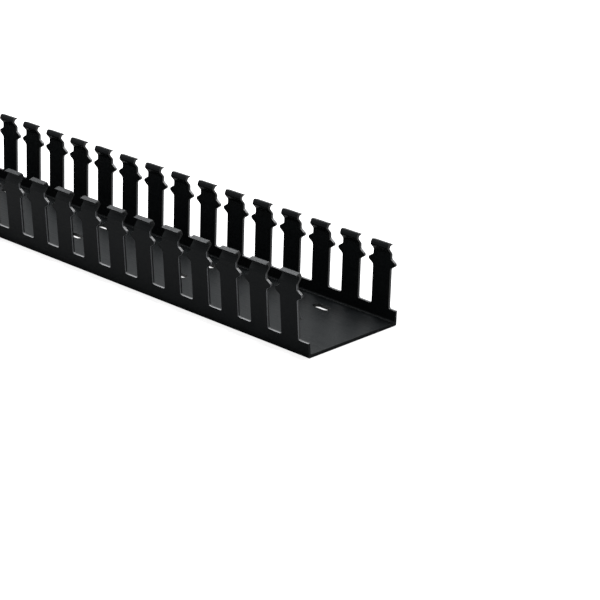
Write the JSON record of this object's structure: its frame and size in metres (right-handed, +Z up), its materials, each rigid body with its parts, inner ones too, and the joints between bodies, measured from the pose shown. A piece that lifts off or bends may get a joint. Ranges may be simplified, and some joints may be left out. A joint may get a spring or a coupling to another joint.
{
  "type": "slotted wire duct",
  "caption": "Open slotted wire duct of black plastic: a long channel with a flat punched base and two walls of fingers whose hooked heads take a clip-on cover.",
  "frame": {"origin": "middle of the underside", "axes": "+X along the duct, towards the cut end that the picture shows; +Y across it; +Z up, out of its open top"},
  "size_m": [0.5, 0.0612, 0.0397],
  "materials": {
    "duct_channel": "satin black extruded PVC"
  },
  "bodies": {
    "root": {"duct_channel": "duct_channel"}
  },
  "joints": []
}
